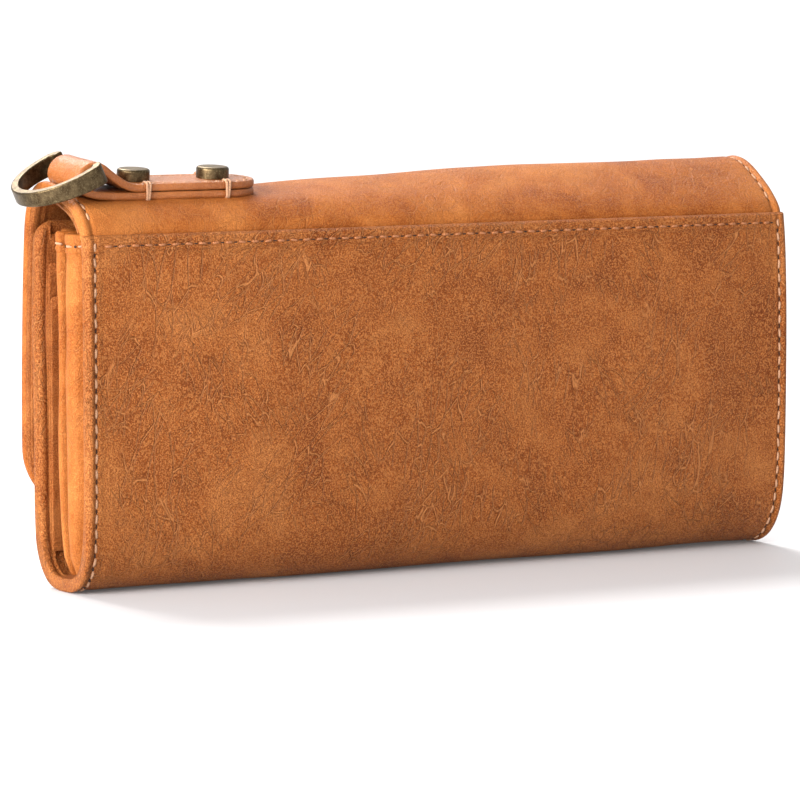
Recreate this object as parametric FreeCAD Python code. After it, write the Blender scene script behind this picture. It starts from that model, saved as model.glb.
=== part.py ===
import FreeCAD, Part
import math
import os

os.makedirs("parts", exist_ok=True)

# Long wallet with an over-the-top flap, standing on its folded bottom edge.
# +X is the end that carries the D-ring, +Y the back, -Y the front where the
# flap closes, +Z up. The origin is the centre of the flat base. Millimetres.

V = FreeCAD.Vector

# ---- driving dimensions ------------------------------------------------------
WIDTH = 195.0
HALF_W = WIDTH / 2

# outer shell: back pocket panel, rounded bottom and front wall in one leather
BACK_Y = 14.4
FRONT_Y = -15.6
BASE_R = 8.5
BACK_TOP = 84.2
FRONT_TOP = 85.5
BACK_LEATHER = 1.8
FRONT_LEATHER = 2.0
HEM_HEIGHT = 4.0
HEM_PROUD = 0.5
FRONT_CORNER_R = 5.0
LINING = 0.8

# back wall: the inner wall of the slip pocket, sewn to the flap
BACK_WALL_Y0 = 10.8
BACK_WALL_Y1 = 12.2
BACK_WALL_TOP = 83.9

# card slots: thin stepped strips on the front and back walls
SLOT_T = 0.6
SLOT_COUNT = 3
SLOT_TOPS = (83.5, 76.5, 68.5)
SLOT_BOTTOM = 9.0
SLOT_HALF_X = 84.0

# coin pocket hanging between the two note compartments
COIN_Y = -0.8
COIN_HALF_Y = 5.0
COIN_HALF_X = 92.0
COIN_T = 1.0
COIN_BOTTOM = 6.0
COIN_TOP = 68.0
COIN_R = 3.0
COIN_LINING = 0.4

# end gussets
GUSSET_T = 0.8
GUSSET_TOP = 84.0
GUSSET_WEB_X = 95.0
GUSSET_FLANGE_X = 85.0

# zip
ZIP_Z = 69.5
ZIP_HALF_X = 84.0
TAPE_T = 0.5
TAPE_LOW = 60.0
TOOTH_PITCH = 2.4
TOOTH_LENGTH = 1.4
TOOTH_Y0 = 0.45
TOOTH_Y1 = 2.2
TOOTH_HALF_Z = 0.9
TEETH_X0 = -80.0
TEETH_X1 = 82.0
SLIDER_X = 72.0
SLIDER_LENGTH = 8.0
SLIDER_HALF_Y = 3.1
PULL_AXIS_Z = 73.5
PULL_LENGTH = 12.0
PULL_BAR_R = 0.5
PULL_HOLE_R = 0.58

# flap: outer leather, lining and front facing follow one profile
FLAP_LEATHER = 2.0
FLAP_LINING = 0.8
FLAP_FACING = 0.8
FLAP_FRONT_Y = -22.2
FLAP_BOTTOM = 18.4
FLAP_CORNER_R = 14.0
FACING_TOP = 79.0
TOP_SLOPE = math.radians(4.5)
STRAP_Y = -3.0
STRAP_Z = 92.0

# strap that holds the D-ring, in its own frame (z = 0 is its underside)
STRAP_LAYER = 1.8
STRAP_GAP = 0.2
STRAP_LIFT = 0.06
STRAP_TOP = 2 * STRAP_LAYER + STRAP_GAP
STRAP_HALF_W = 8.0
STRAP_END_X = 45.9
RING_X = 91.0
RING_Z = 7.1
LOOP_POINTS = [
    (83.6, 4.1),
    (86.5, 6.0),
    (88.9, 7.75),
    (90.9, 8.36),
    (93.0, 7.8),
    (94.4, 6.3),
    (94.7, 4.5),
    (93.7, 2.8),
    (91.4, 1.65),
    (88.0, 1.15),
    (84.5, 0.95),
]
RIVET_XS = (56.0, 77.0)
RIVET_CAP_R = 3.9
RIVET_CAP_H = 2.7
RIVET_SHANK_R = 1.3
RIVET_BACK_R = 3.4
RIVET_BACK_H = 0.6

# D-ring: flat band, straight bar inside the strap loop
RING_HALF_W = 13.0
RING_STRAIGHT = 4.0
RING_BAND_T = 2.0
RING_BAND_W = 5.0  # beside the bar
RING_TIP_W = 3.5  # at the tip of the D
RING_BAR_R = 0.95
RING_BAR_DROP = 0.85
RING_TILT = 25.0

# magnetic snap
SNAP_Z = 34.0
SOCKET_R = 8.5
SOCKET_H = 1.3
SOCKET_HOLE_R = 4.0
STUD_BASE_R = 8.0
STUD_BASE_H = 1.0
STUD_R = 2.8
STUD_H = 1.4
WASHER_R = 7.0
WASHER_T = 0.5


# ---- helpers -----------------------------------------------------------------
def save(name, shape):
    """Write one node."""
    shape.exportStep("parts/" + name + ".step")


def box(x0, x1, y0, y1, z0, z1):
    """Box between two corners."""
    return Part.makeBox(x1 - x0, y1 - y0, z1 - z0, V(x0, y0, z0))


def fuse(shapes):
    """One solid from several that touch or overlap."""
    joined = shapes[0]
    for other in shapes[1:]:
        joined = joined.fuse(other)
    return joined.removeSplitter()


def filled_u(y_front, y_back, z_bottom, radius, half_x):
    """Solid block with a rounded bottom, open-ended upwards to z = 120."""
    top = 120.0
    k = radius * (1 - math.sqrt(0.5))
    edges = [
        Part.makeLine(V(0, y_front, top), V(0, y_front, z_bottom + radius)),
        Part.Arc(
            V(0, y_front, z_bottom + radius),
            V(0, y_front + k, z_bottom + k),
            V(0, y_front + radius, z_bottom),
        ).toShape(),
        Part.makeLine(V(0, y_front + radius, z_bottom), V(0, y_back - radius, z_bottom)),
        Part.Arc(
            V(0, y_back - radius, z_bottom),
            V(0, y_back - k, z_bottom + k),
            V(0, y_back, z_bottom + radius),
        ).toShape(),
        Part.makeLine(V(0, y_back, z_bottom + radius), V(0, y_back, top)),
        Part.makeLine(V(0, y_back, top), V(0, y_front, top)),
    ]
    face = Part.Face(Part.Wire(edges))
    face.translate(V(-half_x, 0, 0))
    return face.extrude(V(2 * half_x, 0, 0))


def rounded_plate(x0, x1, z0, z1, radius, at_bottom, at_top, y0, y1):
    """Upright plate whose bottom or top corners are rounded."""
    plate = box(x0, x1, y0, y1, z0, z1)
    upright = []
    for edge in plate.Edges:
        middle = edge.CenterOfMass
        along_y = abs(edge.Vertexes[0].Y - edge.Vertexes[1].Y) > 1e-6
        low = at_bottom and abs(middle.z - z0) < 1e-6
        high = at_top and abs(middle.z - z1) < 1e-6
        if along_y and (low or high):
            upright.append(edge)
    return plate.makeFillet(radius, upright)


def smooth_curve(points):
    """Interpolated curve through points in the plane x = 0."""
    curve = Part.BSplineCurve()
    curve.interpolate([V(0, y, z) for y, z in points])
    return curve


def offset_points(curve, distance, count):
    """Points beside a curve in the plane x = 0, offset to its left-hand side."""
    shifted = []
    for i in range(count + 1):
        t = curve.FirstParameter + (curve.LastParameter - curve.FirstParameter) * i / count
        point = curve.value(t)
        tangent = curve.tangent(t)[0]
        shifted.append((point.y - tangent.z * distance, point.z + tangent.y * distance))
    return shifted


def sheet_between(curve, near, far, x0, x1, count=48):
    """Sheet between two offsets of one curve, extruded along X."""
    side_a = smooth_curve(offset_points(curve, near, count)).toShape()
    side_b = smooth_curve(offset_points(curve, far, count)).toShape()
    start = Part.makeLine(side_a.valueAt(side_a.FirstParameter), side_b.valueAt(side_b.FirstParameter))
    end = Part.makeLine(side_a.valueAt(side_a.LastParameter), side_b.valueAt(side_b.LastParameter))
    face = Part.Face(Part.Wire(Part.__sortEdges__([side_a, end, side_b, start])))
    face.translate(V(x0, 0, 0))
    return face.extrude(V(x1 - x0, 0, 0))


def disc(x, y0, y1, z, radius):
    """Disc on an axis along Y."""
    return Part.makeCylinder(radius, y1 - y0, V(x, y0, z), V(0, 1, 0))


def place_on_flap(shape):
    """Move a shape from the strap's frame onto the sloping top of the flap."""
    placed = shape.copy()
    placed.rotate(V(0, 0, 0), V(1, 0, 0), -math.degrees(TOP_SLOPE))
    placed.translate(V(0, STRAP_Y, STRAP_Z + STRAP_LIFT))
    return placed


# ---- body: outer shell -------------------------------------------------------
def make_outer_shell():
    outer = filled_u(FRONT_Y, BACK_Y, 0, BASE_R, HALF_W)
    inner = filled_u(
        FRONT_Y + FRONT_LEATHER,
        BACK_Y - BACK_LEATHER,
        FRONT_LEATHER,
        BASE_R - FRONT_LEATHER,
        HALF_W + 1,
    )
    shell = outer.cut(inner)
    front = rounded_plate(
        -HALF_W, HALF_W, -1, FRONT_TOP, FRONT_CORNER_R, False, True, FRONT_Y - 1, 0
    )
    back = box(-HALF_W, HALF_W, 0, BACK_Y + 1, -1, BACK_TOP)
    shell = fuse([shell.common(front), shell.common(back)])
    hem = box(-HALF_W, HALF_W, BACK_Y - 0.5, BACK_Y + HEM_PROUD, BACK_TOP - HEM_HEIGHT, BACK_TOP)
    long_edges = []
    for edge in hem.Edges:
        middle = edge.CenterOfMass
        along_x = abs(edge.Vertexes[0].X - edge.Vertexes[1].X) > 1.0
        if along_x and middle.y > BACK_Y:
            long_edges.append(edge)
    return fuse([shell, hem.makeFillet(0.45, long_edges)])


def inside_shell():
    """Space inside the lined shell, used to trim what stands in it."""
    return filled_u(
        FRONT_Y + FRONT_LEATHER + LINING,
        BACK_Y - BACK_LEATHER,
        FRONT_LEATHER + LINING,
        BASE_R - FRONT_LEATHER - LINING,
        HALF_W,
    )


def make_shell_lining():
    outer = filled_u(
        FRONT_Y + FRONT_LEATHER,
        BACK_Y - BACK_LEATHER,
        FRONT_LEATHER,
        BASE_R - FRONT_LEATHER,
        HALF_W - 1.5,
    )
    lining = outer.cut(inside_shell())
    keep = box(-HALF_W, HALF_W, FRONT_Y, 5.0, 0, FRONT_TOP - 1.0)
    lining = lining.common(keep)
    y0 = FRONT_Y + FRONT_LEATHER
    return lining.cut(disc(0, y0 - 1, y0 + WASHER_T, SNAP_Z, WASHER_R + 0.1))


def make_back_wall():
    wall = box(-HALF_W + 0.5, HALF_W - 0.5, BACK_WALL_Y0, BACK_WALL_Y1, 2, BACK_WALL_TOP)
    return wall.common(inside_shell())


def make_card_slot(wall_y, direction, index):
    """Strip number index, counted from the wall, which is the tallest."""
    near = wall_y + direction * SLOT_T * index
    far = near + direction * SLOT_T
    y0, y1 = min(near, far), max(near, far)
    return box(-SLOT_HALF_X, SLOT_HALF_X, y0, y1, SLOT_BOTTOM, SLOT_TOPS[index])


# ---- body: gussets -----------------------------------------------------------
def make_gusset(end, y0, y1):
    """Folded side panel between two walls: two sewn flanges and a bowed web."""
    r = 2.2
    outer = box(GUSSET_FLANGE_X, GUSSET_WEB_X, y0, y1, 2, GUSSET_TOP)
    corners = []
    for edge in outer.Edges:
        along_z = abs(edge.Vertexes[0].Z - edge.Vertexes[1].Z) > 1.0
        if along_z and abs(edge.CenterOfMass.x - GUSSET_WEB_X) < 1e-6:
            corners.append(edge)
    outer = outer.makeFillet(r, corners)
    inner = box(
        GUSSET_FLANGE_X - 1,
        GUSSET_WEB_X - GUSSET_T,
        y0 + GUSSET_T,
        y1 - GUSSET_T,
        1,
        GUSSET_TOP + 1,
    )
    corners = []
    for edge in inner.Edges:
        along_z = abs(edge.Vertexes[0].Z - edge.Vertexes[1].Z) > 1.0
        if along_z and edge.CenterOfMass.x > GUSSET_FLANGE_X:
            corners.append(edge)
    inner = inner.makeFillet(r - GUSSET_T, corners)
    gusset = outer.cut(inner).common(inside_shell())
    if end < 0:
        gusset = gusset.mirror(V(0, 0, 0), V(1, 0, 0))
    return gusset


# ---- body: coin pocket and zip -----------------------------------------------
def coin_block(inset):
    return filled_u(
        COIN_Y - COIN_HALF_Y + inset,
        COIN_Y + COIN_HALF_Y - inset,
        COIN_BOTTOM + inset,
        COIN_R - inset,
        COIN_HALF_X,
    )


def make_coin_shell():
    shell = coin_block(0).cut(coin_block(COIN_T))
    return shell.common(box(-COIN_HALF_X, COIN_HALF_X, -20, 20, 0, COIN_TOP))


def make_coin_lining():
    lining = coin_block(COIN_T).cut(coin_block(COIN_T + COIN_LINING))
    half_x = COIN_HALF_X - 8.0
    return lining.common(box(-half_x, half_x, -20, 20, 0, TAPE_LOW - 0.5))


def make_coin_end(end):
    """Folded strip that closes one end of the coin pocket."""
    length = 7.0
    thick = 0.8
    x1 = COIN_HALF_X
    x0 = x1 - length
    gap = COIN_HALF_Y - COIN_T
    outer = box(x0, x1, COIN_Y - gap, COIN_Y + gap, COIN_BOTTOM, COIN_TOP - 2)
    inner = box(x0 - 1, x1 - thick, COIN_Y - gap + thick, COIN_Y + gap - thick, 0, COIN_TOP)
    strip = outer.cut(inner).common(coin_block(COIN_T))
    if end < 0:
        strip = strip.mirror(V(0, 0, 0), V(1, 0, 0))
    return strip


def make_zip_tape(side):
    """Tape: sewn flat inside the panel, then turned in to the teeth."""
    outer_y = COIN_HALF_Y - COIN_T
    points = [
        (TOOTH_Y1, ZIP_Z - TAPE_T / 2),
        (outer_y - TAPE_T, ZIP_Z - TAPE_T / 2),
        (outer_y - TAPE_T, TAPE_LOW),
        (outer_y, TAPE_LOW),
        (outer_y, ZIP_Z + TAPE_T / 2),
        (TOOTH_Y1, ZIP_Z + TAPE_T / 2),
    ]
    loop = [V(-ZIP_HALF_X, COIN_Y + side * y, z) for y, z in points]
    face = Part.Face(Part.makePolygon(loop + [loop[0]]))
    return face.extrude(V(2 * ZIP_HALF_X, 0, 0))


def make_zip_teeth():
    """Both rows, staggered by half a pitch."""
    teeth = []
    for side in (-1, 1):
        x = TEETH_X0 + (0.5 * TOOTH_PITCH if side > 0 else 0)
        while x + TOOTH_LENGTH < TEETH_X1:
            y_a = COIN_Y + side * TOOTH_Y0
            y_b = COIN_Y + side * TOOTH_Y1
            tooth = box(
                x,
                x + TOOTH_LENGTH,
                min(y_a, y_b),
                max(y_a, y_b),
                ZIP_Z - TOOTH_HALF_Z,
                ZIP_Z + TOOTH_HALF_Z,
            )
            teeth.append(tooth)
            x += TOOTH_PITCH
    return Part.makeCompound(teeth)


def make_zip_stops():
    """Crimped end stops: two at the closed end, one bridge at the open end."""
    stops = []
    for side in (-1, 1):
        y_a = COIN_Y + side * TOOTH_Y0
        y_b = COIN_Y + side * (TOOTH_Y1 + 0.6)
        clip = box(83.0, 84.6, min(y_a, y_b), max(y_a, y_b), ZIP_Z - 1.1, ZIP_Z + 1.1)
        slot = box(
            82.0, ZIP_HALF_X, COIN_Y - 9, COIN_Y + 9, ZIP_Z - TAPE_T / 2, ZIP_Z + TAPE_T / 2
        )
        tape_zone = box(82.0, 90.0, COIN_Y - TOOTH_Y1, COIN_Y + TOOTH_Y1, 0, 100)
        stops.append(clip.cut(slot.cut(tape_zone)))
    bridge_y = TOOTH_Y1
    bridge = box(
        TEETH_X0 - 2.6,
        TEETH_X0 - 0.6,
        COIN_Y - bridge_y,
        COIN_Y + bridge_y,
        ZIP_Z - 1.1,
        ZIP_Z + 1.1,
    )
    stops.append(bridge)
    return Part.makeCompound(stops)


def make_zip_slider():
    x0 = SLIDER_X - SLIDER_LENGTH / 2
    x1 = SLIDER_X + SLIDER_LENGTH / 2
    y0 = COIN_Y - SLIDER_HALF_Y
    y1 = COIN_Y + SLIDER_HALF_Y
    low = box(x0, x1, y0, y1, ZIP_Z - 2.1, ZIP_Z - 1.3)
    high = box(x0, x1, y0, y1, ZIP_Z + 1.3, ZIP_Z + 2.3)
    flanges = []
    for side in (-1, 1):
        inner = COIN_Y + side * (TOOTH_Y1 + 0.3)
        outer = COIN_Y + side * SLIDER_HALF_Y
        y_a, y_b = min(inner, outer), max(inner, outer)
        flanges.append(box(x0, x1, y_a, y_b, ZIP_Z + 0.6, ZIP_Z + 1.4))
        flanges.append(box(x0, x1, y_a, y_b, ZIP_Z - 1.4, ZIP_Z - 0.6))
    fin = box(x1 - 3.0, x1, COIN_Y - 0.2, COIN_Y + 0.2, ZIP_Z - 1.4, ZIP_Z + 1.4)
    lug = box(SLIDER_X - 1.5, SLIDER_X + 1.5, COIN_Y - 0.8, COIN_Y + 0.8, ZIP_Z + 2.2, PULL_AXIS_Z)
    head = disc(SLIDER_X, COIN_Y - 0.8, COIN_Y + 0.8, PULL_AXIS_Z, 1.5)
    hole = disc(SLIDER_X, COIN_Y - 2, COIN_Y + 2, PULL_AXIS_Z, PULL_HOLE_R)
    return fuse([low, high, fin, lug, head] + flanges).cut(hole)


def make_zip_pull():
    """Tab with a cross-bar that turns in the slider's lug."""
    z0 = PULL_AXIS_Z - 0.5
    z1 = PULL_AXIS_Z + 0.5
    bar = disc(SLIDER_X, COIN_Y - 2.3, COIN_Y + 2.3, PULL_AXIS_Z, PULL_BAR_R)
    pieces = [bar]
    for side in (-1, 1):
        y_a = COIN_Y + side * 1.1
        y_b = COIN_Y + side * 2.3
        pieces.append(box(SLIDER_X - 4, SLIDER_X, min(y_a, y_b), max(y_a, y_b), z0, z1))
        pieces.append(disc(SLIDER_X, min(y_a, y_b), max(y_a, y_b), PULL_AXIS_Z, 0.5))
    tab = box(
        SLIDER_X - PULL_LENGTH, SLIDER_X - 2.4, COIN_Y - 2.3, COIN_Y + 2.3, z0, z1
    )
    ends = []
    for edge in tab.Edges:
        along_z = abs(edge.Vertexes[0].Z - edge.Vertexes[1].Z) > 0.5
        if along_z and edge.CenterOfMass.x < SLIDER_X - PULL_LENGTH + 0.1:
            ends.append(edge)
    pieces.append(tab.makeFillet(1.6, ends))
    return fuse(pieces)


# ---- body: snap socket -------------------------------------------------------
def make_snap_socket():
    plate = disc(0, FRONT_Y - SOCKET_H, FRONT_Y, SNAP_Z, SOCKET_R)
    rim = [e for e in plate.Edges if abs(e.CenterOfMass.y - (FRONT_Y - SOCKET_H)) < 1e-6]
    plate = plate.makeFillet(0.5, rim)
    return plate.cut(disc(0, FRONT_Y - 5, FRONT_Y + 1, SNAP_Z, SOCKET_HOLE_R))


def make_socket_washer():
    y0 = FRONT_Y + FRONT_LEATHER
    return disc(0, y0, y0 + WASHER_T, SNAP_Z, WASHER_R)


# ---- flap --------------------------------------------------------------------
def flap_profile():
    """Outer face of the flap, from its root over the top to the front hem."""
    points = [(12.2, 84.8), (11.7, 86.3), (10.5, 88.3), (8.8, 90.0)]
    for y in (6.4, 5.0, 2.0, -2.0, -6.0, -10.0, -12.0, -13.2):
        points.append((y, STRAP_Z - math.tan(TOP_SLOPE) * (y - STRAP_Y)))
    points += [
        (-15.3, 92.2),
        (-17.2, 90.7),
        (-18.7, 88.2),
        (-19.8, 84.5),
        (-20.6, 79.0),
        (-21.4, 66.0),
        (-22.0, 50.0),
        (FLAP_FRONT_Y, 36.0),
        (FLAP_FRONT_Y, FLAP_BOTTOM),
    ]
    return smooth_curve(points)


def flap_outline(top):
    return rounded_plate(
        -HALF_W, HALF_W, FLAP_BOTTOM, top, FLAP_CORNER_R, True, False, -40, 40
    )


def rivet_holes(radius):
    holes = []
    for x in RIVET_XS:
        holes.append(place_on_flap(Part.makeCylinder(radius, 20, V(x, 0, -10), V(0, 0, 1))))
    return Part.makeCompound(holes)


def make_flap_layer(near, far):
    sheet = sheet_between(flap_profile(), near, far, -HALF_W, HALF_W)
    return sheet.common(flap_outline(120))


def make_flap_outer():
    return make_flap_layer(0, FLAP_LEATHER).cut(rivet_holes(RIVET_SHANK_R))


def stud_seat_y():
    """Inner face of the flap's facing at the height of the snap."""
    return FLAP_FRONT_Y + FLAP_LEATHER + FLAP_LINING + FLAP_FACING


def make_stud_washer():
    y0 = FLAP_FRONT_Y + FLAP_LEATHER + 0.05
    return disc(0, y0, y0 + WASHER_T, SNAP_Z, WASHER_R)


def make_flap_lining():
    lining = make_flap_layer(FLAP_LEATHER, FLAP_LEATHER + FLAP_LINING)
    y0 = FLAP_FRONT_Y + FLAP_LEATHER
    pocket = disc(0, y0 - 1, y0 + WASHER_T + 0.08, SNAP_Z, WASHER_R + 0.1)
    return lining.cut(rivet_holes(RIVET_SHANK_R)).cut(pocket)


def make_flap_facing():
    near = FLAP_LEATHER + FLAP_LINING
    sheet = sheet_between(flap_profile(), near, near + FLAP_FACING, -HALF_W, HALF_W)
    front = box(-HALF_W, HALF_W, -40, -10, 0, FACING_TOP)
    return sheet.common(flap_outline(120)).common(front)


def make_snap_stud():
    y0 = stud_seat_y() + 0.05
    plate = disc(0, y0, y0 + STUD_BASE_H, SNAP_Z, STUD_BASE_R)
    pin = disc(0, y0 + STUD_BASE_H - 0.2, y0 + STUD_BASE_H + STUD_H, SNAP_Z, STUD_R)
    return fuse([plate, pin])


# ---- strap, rivets and ties on the flap --------------------------------------
def strap_centre_line():
    """Middle of the folded strap, from the top layer round the bar and back."""
    half = STRAP_LAYER / 2
    points = []
    for x in (STRAP_END_X, 52.0, 60.0, 68.0, 75.0, 80.5):
        points.append((x, STRAP_LAYER + half + STRAP_GAP))
    points += LOOP_POINTS
    for x in (80.5, 75.0, 68.0, 60.0, 52.0, STRAP_END_X):
        points.append((x, half))
    return points


def make_ring_strap():
    curve = smooth_curve(strap_centre_line())
    half = STRAP_LAYER / 2
    side_a = smooth_curve(offset_points(curve, half, 90)).toShape()
    side_b = smooth_curve(offset_points(curve, -half, 90)).toShape()
    start = Part.makeLine(side_a.valueAt(side_a.FirstParameter), side_b.valueAt(side_b.FirstParameter))
    end = Part.makeLine(side_a.valueAt(side_a.LastParameter), side_b.valueAt(side_b.LastParameter))
    face = Part.Face(Part.Wire(Part.__sortEdges__([side_a, end, side_b, start])))
    strap = face.extrude(V(2 * STRAP_HALF_W, 0, 0))
    # the section was drawn with Y for length: turn it so length runs along X
    strap.rotate(V(0, 0, 0), V(0, 0, 1), -90)
    strap.translate(V(0, STRAP_HALF_W, 0))
    outline = box(STRAP_END_X, RING_X + 10, -STRAP_HALF_W, STRAP_HALF_W, -5, 20)
    end_edges = []
    for edge in outline.Edges:
        along_z = abs(edge.Vertexes[0].Z - edge.Vertexes[1].Z) > 1.0
        if along_z and edge.CenterOfMass.x < STRAP_END_X + 0.1:
            end_edges.append(edge)
    outline = outline.makeFillet(STRAP_HALF_W - 0.2, end_edges)
    strap = strap.common(outline)
    for x in RIVET_XS:
        strap = strap.cut(Part.makeCylinder(RIVET_SHANK_R, 20, V(x, 0, -5), V(0, 0, 1)))
    return place_on_flap(strap)


def make_rivets():
    """Two tubular rivets with drum caps above and flat caps inside the flap."""
    top = STRAP_TOP + 0.03
    under = -(FLAP_LEATHER + FLAP_LINING) - STRAP_LIFT - 0.03
    rivets = []
    for x in RIVET_XS:
        cap = Part.makeCylinder(RIVET_CAP_R, RIVET_CAP_H, V(x, 0, top), V(0, 0, 1))
        rim = [e for e in cap.Edges if abs(e.CenterOfMass.z - top - RIVET_CAP_H) < 1e-6]
        cap = cap.makeFillet(0.7, rim)
        shank = Part.makeCylinder(
            RIVET_SHANK_R, top - under + 0.4, V(x, 0, under - 0.2), V(0, 0, 1)
        )
        back = Part.makeCylinder(
            RIVET_BACK_R, RIVET_BACK_H, V(x, 0, under - RIVET_BACK_H), V(0, 0, 1)
        )
        rivets.append(fuse([cap, shank, back]))
    return place_on_flap(Part.makeCompound(rivets))


def make_ties():
    """Four hand-sewn thread ties that lash the strap's two layers together."""
    top = STRAP_TOP + 0.06
    thick = 0.5
    ties = []
    for x in RIVET_XS:
        for side in (-1, 1):
            inner = side * (STRAP_HALF_W + 0.03)
            outer = side * (STRAP_HALF_W + 0.03 + thick)
            deep = side * (STRAP_HALF_W - 1.6)
            leg = box(x - 0.6, x + 0.6, min(inner, outer), max(inner, outer), 0.05, top + thick)
            cap = box(x - 0.6, x + 0.6, min(deep, outer), max(deep, outer), top, top + thick)
            ties.append(fuse([leg, cap]))
    return place_on_flap(Part.makeCompound(ties))


# ---- D-ring ------------------------------------------------------------------
def d_outline(half_w, bar_t, corner_r):
    """Face of a D: bar at x = bar_t, arc centred on x = RING_STRAIGHT."""
    body = Part.makeBox(RING_STRAIGHT - bar_t, 2 * half_w, 10, V(bar_t, -half_w, -5))
    corners = []
    for edge in body.Edges:
        along_z = abs(edge.Vertexes[0].Z - edge.Vertexes[1].Z) > 1.0
        if along_z and abs(edge.CenterOfMass.x - bar_t) < 1e-6:
            corners.append(edge)
    body = body.makeFillet(corner_r, corners)
    bow = Part.makeCylinder(half_w, 10, V(RING_STRAIGHT, 0, -5), V(0, 0, 1))
    keep = box(RING_STRAIGHT, 60, -60, 60, -6, 6)
    return fuse([body, bow.common(keep)])


def make_d_ring():
    half_t = RING_BAND_T / 2
    outer = d_outline(RING_HALF_W, -half_t, 2.8)
    inner = d_outline(RING_HALF_W - RING_BAND_T, half_t, 1.2)
    # the band narrows from the bar to the tip
    x0, x1 = -half_t - 1.0, RING_STRAIGHT + RING_HALF_W + 1.0
    low, high = RING_BAND_W / 2, RING_TIP_W / 2
    wedge = [V(x0, -60, -low), V(x1, -60, -high), V(x1, -60, high), V(x0, -60, low), V(x0, -60, -low)]
    wedge = Part.Face(Part.makePolygon(wedge)).extrude(V(0, 120, 0))
    ring = outer.cut(inner).common(wedge)
    # the straight side is a round bar, narrower than the band
    half_bar = RING_HALF_W - RING_BAND_T - 1.2
    ring = ring.cut(box(-5, 2.5, -half_bar, half_bar, -9, 9))
    rims = []
    for edge in ring.Edges:
        if abs(edge.CenterOfMass.z) > RING_TIP_W / 2 - 0.2:
            rims.append(edge)
    ring = ring.makeFillet(0.35, rims)
    bar_from = V(0, -half_bar - 0.8, -RING_BAR_DROP)
    ring = ring.fuse(Part.makeCylinder(RING_BAR_R, 2 * half_bar + 1.6, bar_from, V(0, 1, 0)))
    ring.rotate(V(0, 0, 0), V(0, 1, 0), RING_TILT)
    ring.translate(V(RING_X, 0, RING_Z))
    return place_on_flap(ring)


# ---- build every node --------------------------------------------------------
def main():
    save("outer_shell", make_outer_shell())
    save("shell_lining", make_shell_lining())
    save("back_wall", make_back_wall())

    front_inner = FRONT_Y + FRONT_LEATHER + LINING
    for index in range(SLOT_COUNT):
        number = str(index + 1)
        save("front_card_slot_" + number, make_card_slot(front_inner, 1, index))
        save("rear_card_slot_" + number, make_card_slot(BACK_WALL_Y0, -1, index))

    coin_front = COIN_Y - COIN_HALF_Y
    coin_rear = COIN_Y + COIN_HALF_Y
    save("gusset_ring_end_front", make_gusset(1, front_inner, coin_front))
    save("gusset_ring_end_rear", make_gusset(1, coin_rear, BACK_WALL_Y0))
    save("gusset_far_end_front", make_gusset(-1, front_inner, coin_front))
    save("gusset_far_end_rear", make_gusset(-1, coin_rear, BACK_WALL_Y0))

    save("coin_pocket_shell", make_coin_shell())
    save("coin_pocket_lining", make_coin_lining())
    save("coin_pocket_end_ring_side", make_coin_end(1))
    save("coin_pocket_end_far_side", make_coin_end(-1))
    save("zip_tape_front", make_zip_tape(-1))
    save("zip_tape_rear", make_zip_tape(1))
    save("zip_teeth", make_zip_teeth())
    save("zip_stops", make_zip_stops())
    save("zip_slider", make_zip_slider())
    save("zip_pull", make_zip_pull())

    save("snap_socket", make_snap_socket())
    save("snap_socket_washer", make_socket_washer())

    save("flap_outer", make_flap_outer())
    save("flap_lining", make_flap_lining())
    save("flap_facing", make_flap_facing())
    save("snap_stud", make_snap_stud())
    save("snap_stud_washer", make_stud_washer())
    save("ring_strap", make_ring_strap())
    save("strap_rivets", make_rivets())
    save("strap_ties", make_ties())
    save("d_ring", make_d_ring())


main()
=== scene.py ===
import bpy
import math
import numpy as np
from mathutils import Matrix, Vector, noise


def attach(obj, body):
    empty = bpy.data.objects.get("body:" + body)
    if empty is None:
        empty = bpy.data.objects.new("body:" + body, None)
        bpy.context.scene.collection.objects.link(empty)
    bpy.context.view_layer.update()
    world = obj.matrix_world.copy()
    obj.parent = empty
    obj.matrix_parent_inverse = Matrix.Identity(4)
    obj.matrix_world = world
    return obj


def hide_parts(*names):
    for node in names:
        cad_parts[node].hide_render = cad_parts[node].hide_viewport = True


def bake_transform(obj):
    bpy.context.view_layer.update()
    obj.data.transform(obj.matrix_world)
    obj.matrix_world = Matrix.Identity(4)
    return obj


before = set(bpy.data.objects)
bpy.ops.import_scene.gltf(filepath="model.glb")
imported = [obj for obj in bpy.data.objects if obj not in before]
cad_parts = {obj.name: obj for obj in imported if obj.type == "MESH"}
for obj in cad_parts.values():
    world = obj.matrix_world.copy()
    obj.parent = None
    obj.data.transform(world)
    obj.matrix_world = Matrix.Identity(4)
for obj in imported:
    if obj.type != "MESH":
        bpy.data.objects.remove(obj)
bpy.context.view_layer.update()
scene = bpy.context.scene

# Lengths in this script are millimetres until a mesh is made.
MM = 0.001
HALF_W = 97.5
PITCH = 3.45  # stitch pitch
CURVE_POINTS = 900  # samples of a section line


# ------------------------------------------------------------------ materials
def node_tree(name):
    """New material: returns it, its tree and its Principled shader."""
    mat = bpy.data.materials.new(name)
    mat.use_nodes = True
    tree = mat.node_tree
    return mat, tree, tree.nodes["Principled BSDF"]


def add(tree, kind, values=(), **props):
    """New node with its properties and unlinked inputs set."""
    n = tree.nodes.new(kind)
    for key, value in props.items():
        setattr(n, key, value)
    for key, value in dict(values).items():
        n.inputs[key].default_value = value
    return n


def math_node(tree, operation, a, b=None):
    n = tree.nodes.new("ShaderNodeMath")
    n.operation = operation
    for i, v in enumerate((a, b)):
        if v is None:
            continue
        if isinstance(v, (int, float)):
            n.inputs[i].default_value = v
        else:
            tree.links.new(v, n.inputs[i])
    return n.outputs[0]


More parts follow.
